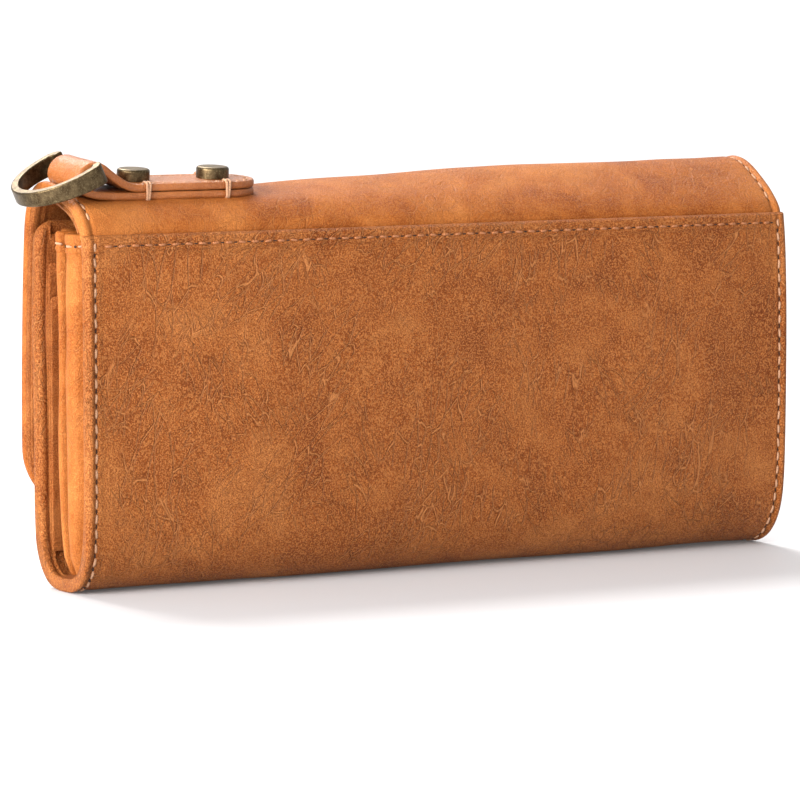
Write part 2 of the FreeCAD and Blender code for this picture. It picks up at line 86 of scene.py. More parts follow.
def ramp(tree, source, stops):
    """Colour ramp from (position, colour) pairs."""
    n = tree.nodes.new("ShaderNodeValToRGB")
    elements = n.color_ramp.elements
    while len(elements) < len(stops):
        elements.new(0.5)
    for e, (pos, colour) in zip(elements, stops):
        e.position = pos
        e.color = (*colour, 1)
    tree.links.new(source, n.inputs[0])
    return n.outputs[0]


def mix(tree, factor, a, b):
    n = tree.nodes.new("ShaderNodeMix")
    n.data_type = "RGBA"
    for socket, v in ((n.inputs[0], factor), (n.inputs[6], a), (n.inputs[7], b)):
        if isinstance(v, (int, float)):
            socket.default_value = v
        elif isinstance(v, tuple):
            socket.default_value = (*v, 1)
        else:
            tree.links.new(v, socket)
    return n.outputs[2]


def smooth_step(tree, source, low, high):
    n = tree.nodes.new("ShaderNodeMapRange")
    n.interpolation_type = "SMOOTHSTEP"
    n.inputs["From Min"].default_value = low
    n.inputs["From Max"].default_value = high
    tree.links.new(source, n.inputs["Value"])
    return n.outputs["Result"]


def coordinates(tree, rest=True):
    """Position in millimetres, fixed to the piece."""
    if rest:
        source = add(tree, "ShaderNodeAttribute", attribute_name="rest").outputs["Vector"]
    else:
        source = tree.nodes.new("ShaderNodeTexCoord").outputs["Object"]
    m = add(tree, "ShaderNodeMapping", {"Scale": (1000, 1000, 1000)})
    tree.links.new(source, m.inputs["Vector"])
    return m.outputs[0]


def noise_tex(tree, vector, scale, detail=3.0, rough=0.5, distortion=0.0):
    n = add(
        tree,
        "ShaderNodeTexNoise",
        {"Scale": scale, "Detail": detail, "Roughness": rough, "Distortion": distortion},
    )
    tree.links.new(vector, n.inputs["Vector"])
    return n.outputs["Fac"]


def scaled(colour, factors):
    """Colour times one factor, or one for each channel, up to white."""
    if isinstance(factors, float):
        factors = (factors,) * 3
    return tuple(min(1.0, c * k) for c, k in zip(colour, factors))


def edge_distance(tree, v, scale, wander_scale, wander_detail):
    """Distance to the nearest edge in a mesh of wandering irregular cells."""
    wander = add(tree, "ShaderNodeTexNoise", {"Scale": wander_scale, "Detail": wander_detail})
    tree.links.new(v, wander.inputs["Vector"])
    bent = add(tree, "ShaderNodeVectorMath", operation="ADD")
    tree.links.new(v, bent.inputs[0])
    tree.links.new(wander.outputs["Color"], bent.inputs[1])
    cells = add(
        tree, "ShaderNodeTexVoronoi", {"Scale": scale, "Randomness": 1.0}, feature="DISTANCE_TO_EDGE"
    )
    tree.links.new(bent.outputs[0], cells.inputs["Vector"])
    return cells.outputs["Distance"]


def bump(tree, height, distance, strength=1.0, normal=None):
    n = add(tree, "ShaderNodeBump", {"Strength": strength, "Distance": distance})
    tree.links.new(height, n.inputs["Height"])
    if normal is not None:
        tree.links.new(normal, n.inputs["Normal"])
    return n.outputs[0]


def creases_along(tree, v, turn, across, along, offset, mask_scale):
    """Long branching creases in patches: (ridge, side) masks, for a painted highlight on each ridge and
    painted shade beside it.
    """
    turned = add(tree, "ShaderNodeMapping", {"Rotation": turn, "Location": offset})
    tree.links.new(v, turned.inputs["Vector"])
    stretched = add(tree, "ShaderNodeMapping", {"Scale": (across, across, along)})
    tree.links.new(turned.outputs[0], stretched.inputs["Vector"])
    distance = edge_distance(tree, stretched.outputs[0], 1.0, 0.6, 1.5)
    keep = smooth_step(tree, noise_tex(tree, turned.outputs[0], mask_scale, 3.0, 0.6, 0.8), 0.5, 0.6)
    masks = []
    for far, near in ((0.024, 0.006), (0.07, 0.025)):
        masks.append(math_node(tree, "MULTIPLY", smooth_step(tree, distance, far, near), keep))
    return masks


def leather(name, dark, mid, light, rough=0.5, grain=1.0, creases=1.0, rest=True, specular=0.13):
    """Pull-up leather: cloudy two-tone colour, pebble grain with painted shade in its valleys, creases with
    a painted highlight on their ridges and painted shade beside them.
    """
    mat, tree, bsdf = node_tree(name)
    v = coordinates(tree, rest=rest)
    clouds = noise_tex(tree, v, 0.036, 4.0, 0.58, 0.8)
    patches = noise_tex(tree, v, 0.11, 3.0, 0.55, 0.4)
    tone = math_node(
        tree, "ADD", math_node(tree, "MULTIPLY", clouds, 0.62), math_node(tree, "MULTIPLY", patches, 0.38)
    )
    colour = ramp(tree, tone, [(0.39, dark), (0.5, mid), (0.61, light)])
    # pebble grain: small cells, the thin valleys between them darkened as painted shade
    pebble = smooth_step(tree, edge_distance(tree, v, 2.1, 1.3, 2.0), 0.2, 0.02)
    fuzz = noise_tex(tree, v, 2.6, 2.0, 0.5)
    shade = math_node(tree, "MULTIPLY", pebble, 0.7 * grain)
    colour = mix(tree, shade, colour, scaled(dark, (0.62, 0.5, 0.4)))
    pale = math_node(tree, "MULTIPLY", smooth_step(tree, fuzz, 0.45, 0.6), 0.65 * grain)
    colour = mix(tree, pale, colour, scaled(light, (1.15, 1.25, 1.4)))
    # crease families: turn, fineness across and along, offset, fineness of their patches
    families = (
        ((0.0, 0.12, 0.0), 0.32, 0.07, (3, 7, 1), 0.04),
        ((0.0, 0.75, 0.0), 0.36, 0.085, (31, 2, 17), 0.04),
        ((0.0, -0.45, 0.0), 0.44, 0.11, (12, 40, 5), 0.05),
    )
    ridges = sides = None
    for family in families:
        ridge, side = creases_along(tree, v, *family)
        ridges = ridge if ridges is None else math_node(tree, "MAXIMUM", ridges, ridge)
        sides = side if sides is None else math_node(tree, "MAXIMUM", sides, side)
    # painted shade beside the creases, then a painted highlight on their ridges
    crease_shade_amount = math_node(tree, "MULTIPLY", sides, 0.5 * creases)
    colour = mix(tree, crease_shade_amount, colour, scaled(dark, 0.7))
    crease_highlight_amount = math_node(tree, "MULTIPLY", ridges, 0.6 * creases)
    colour = mix(tree, crease_highlight_amount, colour, scaled(light, (1.4, 1.6, 2.0)))
    tree.links.new(colour, bsdf.inputs["Base Color"])
    gloss = math_node(tree, "ADD", math_node(tree, "MULTIPLY", patches, 0.22), rough - 0.11)
    tree.links.new(gloss, bsdf.inputs["Roughness"])
    bsdf.inputs["Specular IOR Level"].default_value = specular
    n1 = bump(tree, math_node(tree, "MULTIPLY", pebble, -1.0 * grain), 0.00018, 0.9)
    relief = math_node(tree, "SUBTRACT", ridges, sides)
    n2 = bump(tree, relief, 0.0002, 0.8 * creases, n1)
    wrinkle = noise_tex(tree, v, 0.16, 3.0, 0.55, 0.8)
    n3 = bump(tree, wrinkle, 0.0009, 0.5, n2)
    tree.links.new(n3, bsdf.inputs["Normal"])
    return mat


def thread(name, base, pitch):
    """Waxed thread with a twist."""
    mat, tree, bsdf = node_tree(name)
    v = coordinates(tree, rest=False)
    twist = add(tree, "ShaderNodeTexWave", {"Scale": pitch, "Distortion": 1.5, "Detail": 2.0})
    twist.bands_direction = "DIAGONAL"
    tree.links.new(v, twist.inputs["Vector"])
    fuzz = noise_tex(tree, v, 4.0, 3.0, 0.7)
    colour = ramp(tree, twist.outputs["Fac"], [(0.1, scaled(base, 0.6)), (0.7, base)])
    colour = mix(tree, math_node(tree, "MULTIPLY", fuzz, 0.3), colour, scaled(base, 0.75))
    tree.links.new(colour, bsdf.inputs["Base Color"])
    bsdf.inputs["Roughness"].default_value = 0.62
    tree.links.new(bump(tree, twist.outputs["Fac"], 0.00015, 0.8), bsdf.inputs["Normal"])
    return mat


def brass(name):
    """Antique brass: dark blotchy patina with bright rubbed specks."""
    mat, tree, bsdf = node_tree(name)
    v = coordinates(tree, rest=False)
    blotch = noise_tex(tree, v, 0.5, 4.0, 0.6)
    pits = noise_tex(tree, v, 2.4, 3.0, 0.75)
    tones = [(0.3, (0.05, 0.032, 0.016)), (0.5, (0.095, 0.065, 0.033)), (0.72, (0.17, 0.12, 0.062))]
    colour = ramp(tree, blotch, tones)
    worn = smooth_step(tree, pits, 0.52, 0.66)
    colour = mix(tree, math_node(tree, "MULTIPLY", worn, 0.3), colour, (0.36, 0.29, 0.16))
    dark = smooth_step(tree, pits, 0.46, 0.34)
    colour = mix(tree, math_node(tree, "MULTIPLY", dark, 0.45), colour, (0.035, 0.022, 0.012))
    tree.links.new(colour, bsdf.inputs["Base Color"])
    bsdf.inputs["Metallic"].default_value = 1.0
    rough = math_node(tree, "ADD", math_node(tree, "MULTIPLY", pits, 0.3), 0.26)
    tree.links.new(rough, bsdf.inputs["Roughness"])
    tree.links.new(bump(tree, pits, 0.00006, 0.5), bsdf.inputs["Normal"])
    return mat


def weave(name, base, scale):
    """Woven tape or lining cloth."""
    mat, tree, bsdf = node_tree(name)
    v = coordinates(tree)
    a = add(tree, "ShaderNodeTexWave", {"Scale": scale, "Distortion": 0.4, "Detail": 1.0})
    b = add(tree, "ShaderNodeTexWave", {"Scale": scale * 1.3, "Distortion": 0.4, "Detail": 1.0})
    a.bands_direction = "X"
    b.bands_direction = "Z"
    tree.links.new(v, a.inputs["Vector"])
    tree.links.new(v, b.inputs["Vector"])
    cross = math_node(tree, "MULTIPLY", a.outputs["Fac"], b.outputs["Fac"])
    colour = ramp(tree, cross, [(0.05, scaled(base, 0.5)), (0.8, base)])
    tree.links.new(colour, bsdf.inputs["Base Color"])
    bsdf.inputs["Roughness"].default_value = 0.85
    tree.links.new(bump(tree, cross, 0.00015, 0.8), bsdf.inputs["Normal"])
    return mat


DARK = (0.215, 0.051, 0.0085)
MID = (0.325, 0.092, 0.018)
LIGHT = (0.435, 0.150, 0.038)
LEATHER = leather("leather_pull_up", DARK, MID, LIGHT)
# lighter, smoother copy of the leather for the flap and the gussets: the finer grain is real, the lighter
# colour is painted light on the lit flap top and gussets
LEATHER_SMOOTH_LIT = leather(
    "leather_smooth_lit", (0.25, 0.06, 0.009), (0.375, 0.108, 0.019), (0.48, 0.163, 0.037), 0.48, 0.55, 0.55
)
LEATHER_IN = leather(
    "leather_inside", scaled(DARK, 0.85), scaled(MID, 0.86), scaled(LIGHT, 0.85), 0.55, 0.7, 0.4
)
STRAP = leather(
    "leather_strap", (0.28, 0.08, 0.016), (0.38, 0.115, 0.024), (0.46, 0.155, 0.04), 0.34, 0.4, 0.3,
    specular=0.5,
)
LINING_WALL = leather(
    "leather_lining_wall", (0.25, 0.075, 0.025), (0.34, 0.11, 0.037), (0.42, 0.15, 0.05), 0.62, 0.5, 0.2,
    rest=False,
)
THREAD_PALE = thread("thread_pale", (0.60, 0.32, 0.18), 1.6)
THREAD_BROWN = thread("thread_brown", (0.46, 0.17, 0.06), 1.6)
BRASS = brass("antique_brass")
TAPE = weave("zip_tape_weave", (0.12, 0.055, 0.028), 1.4)
CLOTH = weave("lining_cloth", (0.32, 0.21, 0.13), 1.1)


def hole_shade_material():
    """Painted shade for the inside of a needle hole: a near-black colour."""
    mat, tree, bsdf = node_tree("needle_hole")
    v = coordinates(tree, rest=False)
    n = noise_tex(tree, v, 2.0)
    colour = ramp(tree, n, [(0.3, (0.018, 0.006, 0.003)), (0.7, (0.05, 0.016, 0.007))])
    tree.links.new(colour, bsdf.inputs["Base Color"])
    bsdf.inputs["Roughness"].default_value = 0.9
    return mat


HOLE_SHADE = hole_shade_material()


# -------------------------------------------------------------- mesh builders
def make_object(name, verts, faces, material):
    """Mesh object in metres, smooth, with a rest-position attribute."""
    mesh = bpy.data.meshes.new(name)
    verts = np.asarray(verts, float) * MM
    mesh.from_pydata(verts.tolist(), [], faces)
    mesh.polygons.foreach_set("use_smooth", [True] * len(mesh.polygons))
    attribute = mesh.attributes.new("rest", "FLOAT_VECTOR", "POINT")
    attribute.data.foreach_set("vector", verts.astype(np.float32).ravel())
    mesh.materials.append(material)
    mesh.update()
    obj = bpy.data.objects.new(name, mesh)
    scene.collection.objects.link(obj)
    return obj


def through(points, n):
    """n points evenly spaced along a smooth curve through the given ones."""
    p = np.asarray(points, float)
    p = np.vstack([2 * p[0] - p[1], p, 2 * p[-1] - p[-2]])
    out = []
    for i in range(1, len(p) - 2):
        t = np.linspace(0, 1, 24, endpoint=False)[:, None]
        a, b, c, d = p[i - 1], p[i], p[i + 1], p[i + 2]
        square = (2 * a - 5 * b + 4 * c - d) * t**2
        cube = (3 * b - a - 3 * c + d) * t**3
        out.append(0.5 * (2 * b + (c - a) * t + square + cube))
    dense = np.vstack(out + [p[-2][None]])
    length = np.concatenate([[0], np.cumsum(np.linalg.norm(np.diff(dense, axis=0), axis=1))])
    s = np.linspace(0, length[-1], n)
    return np.stack([np.interp(s, length, dense[:, k]) for k in range(dense.shape[1])], 1), length[-1]


def at_stations(points, total, stations):
    """Points of an evenly sampled curve at the given arc lengths."""
    s = np.linspace(0, total, len(points))
    return np.stack([np.interp(stations, s, points[:, k]) for k in range(points.shape[1])], 1)


def stations(length, step, edge=4.5, fine=0.32, radius=1.2):
    """Positions 0..length, dense at both ends so edges come out round."""
    rim = radius * (1 - np.cos(np.linspace(0, math.pi / 2, 6)))
    rim = np.concatenate([rim, np.arange(radius + fine, edge, fine)])
    inner = np.linspace(edge, length - edge, max(3, int((length - 2 * edge) / step)))
    return np.concatenate([rim, inner, length - rim[::-1]])


def grid_normals(p):
    """Unit normals of a point grid [nu, nv, 3]."""
    n = np.cross(np.gradient(p, axis=0), np.gradient(p, axis=1))
    return n / np.maximum(np.linalg.norm(n, axis=2, keepdims=True), 1e-9)


def corner_distance(u, v, half_u, length_v, r0=0.0, r1=0.0):
    """Distance inside a strip |u| < half_u, 0 < v < length_v, its corners rounded by r0 and r1."""
    side = half_u - np.abs(u)
    d = np.minimum(side, np.minimum(v, length_v - v))
    for radius, along in ((r0, v), (r1, length_v - v)):
        if radius > 0:
            inside = (side < radius) & (along < radius)
            round_d = radius - np.hypot(radius - side, radius - along)
            d = np.where(inside, round_d, d)
    return np.maximum(d, 0.0)


def width_at(v, half_u, length_v, r0=0.0, r1=0.0):
    """Half width of that strip at each v."""
    w = np.full_like(v, half_u)
    for radius, along in ((r0, v), (r1, length_v - v)):
        if radius > 0:
            a = np.clip(along, 0, radius)
            w = w - (radius - np.sqrt(np.maximum(radius**2 - (radius - a) ** 2, 0)))
    return w


def sheet_object(name, mid, half_t, d, material, lift_out=None, lift_in=None, round_r=None):
    """Closed sheet: mid surface grid, half thickness, distance to the edge and optional extra relief."""
    n = grid_normals(mid)
    half_t = np.broadcast_to(np.asarray(half_t, float), d.shape)
    r = half_t if round_r is None else round_r
    k = np.sqrt(np.maximum(1 - (1 - np.clip(d / r, 0, 1)) ** 2, 0))
    up = half_t * k + (0 if lift_out is None else lift_out * k)
    down = half_t * k + (0 if lift_in is None else lift_in * k)
    outer = mid + n * up[..., None]
    inner = mid - n * down[..., None]
    nu, nv = d.shape
    index_out = np.arange(nu * nv).reshape(nu, nv)
    index_in = index_out + nu * nv
    for rim in (np.s_[0, :], np.s_[-1, :], np.s_[:, 0], np.s_[:, -1]):
        index_in[rim] = index_out[rim]
    verts = np.vstack([outer.reshape(-1, 3), inner.reshape(-1, 3)])
    faces = []
    for i in range(nu - 1):
        for j in range(nv - 1):
            ring = ((i, j), (i + 1, j), (i + 1, j + 1), (i, j + 1))
            faces.append([index_out[at] for at in ring])
            faces.append([index_in[at] for at in (ring[0], ring[3], ring[2], ring[1])])
    used, packed = np.unique(np.asarray(faces), return_inverse=True)
    faces = packed.reshape(-1, 4)
    obj = make_object(name, verts[used], [tuple(int(k) for k in f) for f in faces], material)
    return obj, outer, n


def groove(d, at, depth, width):
    """Stitched groove along the line d = at."""
    return -depth * np.exp(-(((d - at) / width) ** 2))


def undulate(p, scale, amount, seed):
    """Slow surface waves."""
    flat = p.reshape(-1, 3) * scale
    values = [noise.noise(Vector((x + seed, y, z))) for x, y, z in flat]
    return amount * np.asarray(values).reshape(p.shape[:2])


# ------------------------------------------------------------------- stitches
def stitch_row(path, normals, pitch=PITCH, reach=0.62, radius=0.36, sink=0.1, phase=0.5):
    """Vertices and faces of threads and needle holes along a path (mm)."""
    path, normals = np.asarray(path, float), np.asarray(normals, float)
    run = np.concatenate([[0], np.cumsum(np.linalg.norm(np.diff(path, axis=0), axis=1))])
    count = max(1, int(run[-1] / pitch))
    step = run[-1] / count

    def at(s):
        p = np.array([np.interp(s, run, path[:, k]) for k in range(3)])
        q = np.array([np.interp(s, run, normals[:, k]) for k in range(3)])
        return p, q / np.linalg.norm(q)

    thread_v, thread_f, hole_v, hole_f = [], [], [], []
    for i in range(count):
        middle = (i + phase) * step
        half = reach * step / 2
        p0, _ = at(middle - half)
        p1, _ = at(middle + half)
        pm, nm = at(middle)
        along = (p1 - p0) / np.linalg.norm(p1 - p0)
        side = np.cross(nm, along)
        slant = 0.12 * half * math.sin(1.7 * i)
        base = len(thread_v)
        rings = 7
        for a in range(rings):
            t = a / (rings - 1) * 2 - 1
            centre = pm + along * half * t + side * slant * t + nm * (sink * (1 - 2.6 * t**4) + 0.02)
            r = radius * math.sqrt(max(0.03, 1 - t**6))
            for b in range(8):
                angle = b * math.pi / 4
                thread_v.append(centre + side * r * math.cos(angle) + nm * r * 0.8 * math.sin(angle))
        for low in range(base, base + 8 * (rings - 1), 8):
            for b in range(8):
                c = (b + 1) % 8
                thread_f.append((low + b, low + c, low + 8 + c, low + 8 + b))
        thread_f.append(tuple(base + b for b in range(7, -1, -1)))
        thread_f.append(tuple(base + (rings - 1) * 8 + b for b in range(8)))
        # needle hole at the end of each stitch: a shallow lens, painted near-black as the shade inside the
        # hole
        ph, nh = at(min(middle + step / 2, run[-1]))
        base = len(hole_v)
        hole_v.append(ph + nh * 0.06)
        for ring, h in ((0.62, 0.05), (1.0, -0.12)):
            for b in range(10):
                angle = b * math.pi / 5
                rim = along * 0.72 * math.cos(angle) + side * 0.46 * math.sin(angle)
                hole_v.append(ph + rim * ring + nh * h)
        for b in range(10):
            c = (b + 1) % 10
            hole_f.append((base, base + 1 + b, base + 1 + c))
            hole_f.append((base + 1 + b, base + 11 + b, base + 11 + c, base + 1 + c))
    return thread_v, thread_f, hole_v, hole_f


class Seams:
    """Collects stitch rows into one thread mesh and one needle-hole mesh."""

    def __init__(self, name, material):
        self.name, self.material = name, material
        self.parts = [[], [], [], []]

    def row(self, path, normals, **options):
        tv, tf, hv, hf = stitch_row(path, normals, **options)
        for verts, faces, add_v, add_f in (
            (self.parts[0], self.parts[1], tv, tf),
            (self.parts[2], self.parts[3], hv, hf),
        ):
            base = len(verts)
            verts.extend(add_v)
            faces.extend(tuple(base + k for k in f) for f in add_f)

    def build(self, body):
        pieces = []
        for suffix, verts, faces, material in (
            ("threads", self.parts[0], self.parts[1], self.material),
            ("needle_holes", self.parts[2], self.parts[3], HOLE_SHADE),
        ):
            if verts:
                obj = make_object(self.name + "_" + suffix, verts, faces, material)
                pieces.append(obj)
        return pieces


# --------------------------------------------------------------- strip sheets
class Sheet:
    """A closed leather sheet over stations u (across) and v (along)."""

    def __init__(
        self, name, us, vs, surface, d, material, half_t, body=None, stands_for=(), slot=None, **relief
    ):
        self.us, self.vs = us, vs
        half = np.broadcast_to(np.asarray(half_t, float), d.shape)
        n = grid_normals(surface)
        mid = surface - n * half[..., None]
        self.obj, self.outer, self.n = sheet_object(name, mid, half, d, material, **relief)
        self.inner = mid - n * half[..., None]
        finish_piece(self.obj, body, stands_for)

    def sample(self, path, inner=False):
        """Points and outward normals at (u, v) pairs."""
        path = np.asarray(path, float)
        grid = self.inner if inner else self.outer
        iu = np.interp(path[:, 0], self.us, np.arange(len(self.us)))
        iv = np.interp(path[:, 1], self.vs, np.arange(len(self.vs)))
        i = np.clip(iu.astype(int), 0, len(self.us) - 2)
        j = np.clip(iv.astype(int), 0, len(self.vs) - 2)
        fu, fv = (iu - i)[:, None], (iv - j)[:, None]

        def pick(g):
            return (
                g[i, j] * (1 - fu) * (1 - fv)
                + g[i + 1, j] * fu * (1 - fv)
                + g[i, j + 1] * (1 - fu) * fv
                + g[i + 1, j + 1] * fu * fv
            )

        normals = pick(self.n)
        return pick(grid), -normals if inner else normals


def finish_piece(obj, body, stands_for):
    """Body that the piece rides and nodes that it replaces."""
    if body:
        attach(obj, body)
    if stands_for:
        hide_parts(*([stands_for] if isinstance(stands_for, str) else stands_for))


def smooth(x, low, high):
    t = np.clip((x - low) / (high - low), 0, 1)
    return t * t * (3 - 2 * t)


def line(a, b, n):
    return np.linspace(a, b, n)


# ---------------------------------------------------------------- outer shell
# section lines (y, z): the front wall and base, then the back panel at its far end and ring end
FRONT_RUN = [
    (-8.0, 0.75), (-11.0, 2.6), (-13.4, 5.6), (-14.9, 9.5), (-15.3, 14), (-15.6, 20), (-15.7, 34),
    (-16.0, 50), (-16.2, 60), (-16.1, 70), (-15.6, 80), (-15.2, 86.3),
]
BACK_FAR = [
    (13.6, 84.2), (14.0, 82), (14.6, 78), (15.2, 72), (15.7, 62), (15.9, 53), (15.9, 42), (15.75, 30),
    (15.5, 22), (15.1, 16.5), (14.4, 12.2), (13.3, 8.8), (11.7, 5.9), (9.6, 3.5), (7.1, 1.7), (4.0, 0.5),
    (0.5, 0.05), (-4, 0.05),
] + FRONT_RUN
BACK_RING = [
    (12.9, 84.2), (13.0, 82), (13.2, 78), (13.3, 72), (13.4, 62), (13.4, 53), (13.4, 42), (13.4, 30),
    (13.25, 22), (13.0, 16.5), (12.5, 12.2), (11.7, 8.8), (10.5, 5.9), (8.9, 3.5), (6.7, 1.7), (3.8, 0.5),
    (0.5, 0.05), (-4, 0.05),
] + FRONT_RUN
shell_far, shell_length = through(BACK_FAR, CURVE_POINTS)
shell_ring, _ = through(BACK_RING, CURVE_POINTS)
shell_us = stations(2 * HALF_W, 1.5) - HALF_W
shell_vs = stations(shell_length, 1.5, 7.5)
FRONT_TOP_R = 5.0
BACK_TOP_R = 0.6
FLANGE = 3.6  # width of the turned edge
HEM = 4.1  # turned hem of the back panel
# distances of the seams from their edges
HEM_SEAM = 2.85
SIDE_SEAM = 2.6
FRONT_SEAM = 2.7


def shell_surface(us, vs):
    """Shell surface: its section changes from the ring end to the far end."""
    far = at_stations(shell_far, shell_length, vs)
    ring = at_stations(shell_ring, shell_length, vs)
    widths = width_at(vs, HALF_W, shell_length, BACK_TOP_R, FRONT_TOP_R)
    x = us[:, None] * widths[None, :] / HALF_W
    w = (0.12 + 0.88 * smooth(-x, -97.5, -45.0)) * (1 - 0.25 * smooth(-x, 70, 97.5))
    yz = far[None] * w[..., None] + ring[None] * (1 - w[..., None])
    # the end of the base is drawn in a little, so its lower corners are soft
    draw = np.exp(-((yz[..., 1] / 12.0) ** 2)) * smooth(np.abs(us), 88, 97.5)[:, None]
    x = x * (1 - 0.008 * draw)
    return np.dstack([x, yz])


shell_grid = shell_surface(shell_us, shell_vs)
v_grid = np.broadcast_to(shell_vs, shell_grid.shape[:2])
shell_d = corner_distance(shell_grid[..., 0], v_grid, HALF_W, shell_length, BACK_TOP_R, FRONT_TOP_R)
side_d = HALF_W - np.abs(shell_grid[..., 0])
hem = 0.55 * (1 - smooth(v_grid, HEM - 0.25, HEM + 0.35))
hem *= smooth(side_d, 0.5, 3.2)
hem_seam = groove(v_grid, HEM_SEAM, 0.4, 0.5) * smooth(side_d, 1.5, 3.0)
side_seam = groove(side_d, SIDE_SEAM, 0.45, 0.55) + 0.25 * np.exp(-(((side_d - 1.2) / 0.9) ** 2))
side_seam -= 0.18 * np.exp(-(((side_d - 4.6) / 1.2) ** 2))
front_hem = groove(shell_length - v_grid, FRONT_SEAM, 0.35, 0.5)
waves = undulate(shell_grid, 0.018, 0.45, 3) + undulate(shell_grid, 0.06, 0.16, 9)
waves *= smooth(shell_d, 1.5, 12)
turned = 0.55 * smooth(-side_d, -FLANGE - 0.35, -FLANGE + 0.15)
front_flange = smooth(-shell_grid[..., 1], -2.0, 6.0) * smooth(shell_grid[..., 2], 6.0, 6.9)
turned = turned * (0.55 + 0.95 * front_flange)
inner_seam = groove(side_d, 2.7, 0.4, 0.5)
shell = Sheet(
    "wallet_shell_leather", shell_us, shell_vs, shell_grid, shell_d, LEATHER,
    1.0 + 0.35 * (1 - smooth(shell_d, 2.0, 6.0)),
    body="wallet_body", stands_for="outer_shell", slot="leather",
    lift_out=hem + hem_seam + side_seam + front_hem + waves, lift_in=turned + inner_seam,
)

# --------------------------------------------------------------------- seams
side_threads = Seams("shell_side_seam", THREAD_PALE)
for side in (1, -1):
    u = side * (HALF_W - SIDE_SEAM)
    outer_run = [(u, v) for v in line(1.2, shell_length - 4.0, 260)]
    side_threads.row(*shell.sample(outer_run), radius=0.34, reach=0.7)
    inner_run = [(u, v) for v in line(shell_length - 76, shell_length - 5.0, 120)]
    side_threads.row(*shell.sample(inner_run, inner=True), radius=0.3)
hem_threads = Seams("shell_hem_seam", THREAD_BROWN)
back_top = [(u, HEM_SEAM) for u in line(HALF_W - 4.3, -HALF_W + 4.3, 260)]
front_top = [(u, shell_length - FRONT_SEAM) for u in line(HALF_W - 5, -HALF_W + 5, 260)]
hem_threads.row(*shell.sample(back_top), radius=0.3, reach=0.6)
hem_threads.row(*shell.sample(front_top), radius=0.3, reach=0.6)
hem_threads.row(*shell.sample(front_top, inner=True), radius=0.3, reach=0.6)


# ---------------------------------------------------------------------- flap
# section lines (y, z) from the flap's lower edge, over the crest, to the hem of the back
FLAP_BASE = [
    (-22.2, 17.6), (-22.2, 40), (-21.9, 55), (-21.2, 70), (-20.4, 80), (-19.7, 85.5), (-18.3, 89.4),
    (-15.9, 91.9), (-13.0, 92.75), (-10, 92.55), (-5, 92.16), (0, 91.76), (5.5, 91.25), (8.3, 90.0),
    (10.2, 88.0), (11.5, 86.1), (12.0, 84.6), (12.0, 83.6), (11.9, 82.6),
]
FLAP_HIGH = [
    (-22.2, 17.6), (-22.2, 40), (-21.9, 55), (-21.2, 70), (-20.5, 80), (-19.9, 85.6), (-18.7, 89.8),
    (-16.4, 93.3), (-13.1, 95.9), (-9.5, 97.05), (-6.3, 97.05), (-3.1, 96.3), (0.5, 94.6), (6.1, 90.8),
    (8.9, 88.4), (10.8, 86.4), (11.8, 84.8), (12.0, 83.6), (11.9, 82.6),
]
flap_base, flap_length = through(FLAP_BASE, CURVE_POINTS)
flap_high, _ = through(FLAP_HIGH, CURVE_POINTS)
# share of the high section along the length
CREST_X = (-97.5, -95, -71, -60, -18, -10, -1, 7, 15, 24, 32, 42, 50, 97.5)
CREST_W = (1.0, 1.0, 0.93, 0.87, 0.84, 0.78, 0.67, 0.6, 0.53, 0.48, 0.38, 0.15, 0.0, 0.0)
FLAP_R = 14.0
FLAP_TOP_R = 0.6
FLAP_T = 2.2
FLAP_SEAM = 2.8
flap_us = stations(2 * HALF_W, 1.6) - HALF_W
flap_vs = stations(flap_length, 1.4)


def crest_weight(x):
    """Share of the high section at x, with the lift of the flap's edge at the ring end."""
    w = sum(np.interp(x + shift, CREST_X, CREST_W) for shift in (-6, -3, 0, 3, 6)) / 5
    return w + 0.8 * smooth(x, 88.5, 98.5) ** 1.6


def flap_surface(us, vs, half_w=HALF_W, start=0.0, radius=FLAP_R):
    """Flap surface at stations u and v, with rounded lower corners."""
    base = at_stations(flap_base, flap_length, vs)
    high = at_stations(flap_high, flap_length, vs)
    widths = width_at(vs - start, half_w, flap_length - start, radius, FLAP_TOP_R)
    x = us[:, None] * widths[None, :] / half_w
    w = crest_weight(x)
    yz = base[None] * (1 - w[..., None]) + high[None] * w[..., None]
    return np.dstack([x, yz])


flap_grid = flap_surface(flap_us, flap_vs)
flap_v = np.broadcast_to(flap_vs, flap_grid.shape[:2])
flap_d = corner_distance(flap_grid[..., 0], flap_v, HALF_W, flap_length, FLAP_R, FLAP_TOP_R)
flap_side = HALF_W - np.abs(flap_grid[..., 0])
seam_d = np.where(flap_v > flap_length - 12, flap_side, flap_d)
flap_seam = groove(seam_d, FLAP_SEAM, 0.42, 0.55) + 0.2 * np.exp(-(((seam_d - 1.2) / 0.9) ** 2))
flap_waves = undulate(flap_grid, 0.02, 0.35, 21) + undulate(flap_grid, 0.07, 0.16, 5)
flap_waves *= smooth(flap_d, 2, 14)
# the flap wears the lighter leather copy: painted light on its lit top
flap = Sheet(
    "flap_leather", flap_us, flap_vs, flap_grid, flap_d, LEATHER_SMOOTH_LIT,
    0.9 + 0.35 * (1 - smooth(flap_side, 2.5, 5.0)),
    stands_for="flap_outer", slot="leather", lift_out=flap_seam + flap_waves,
)

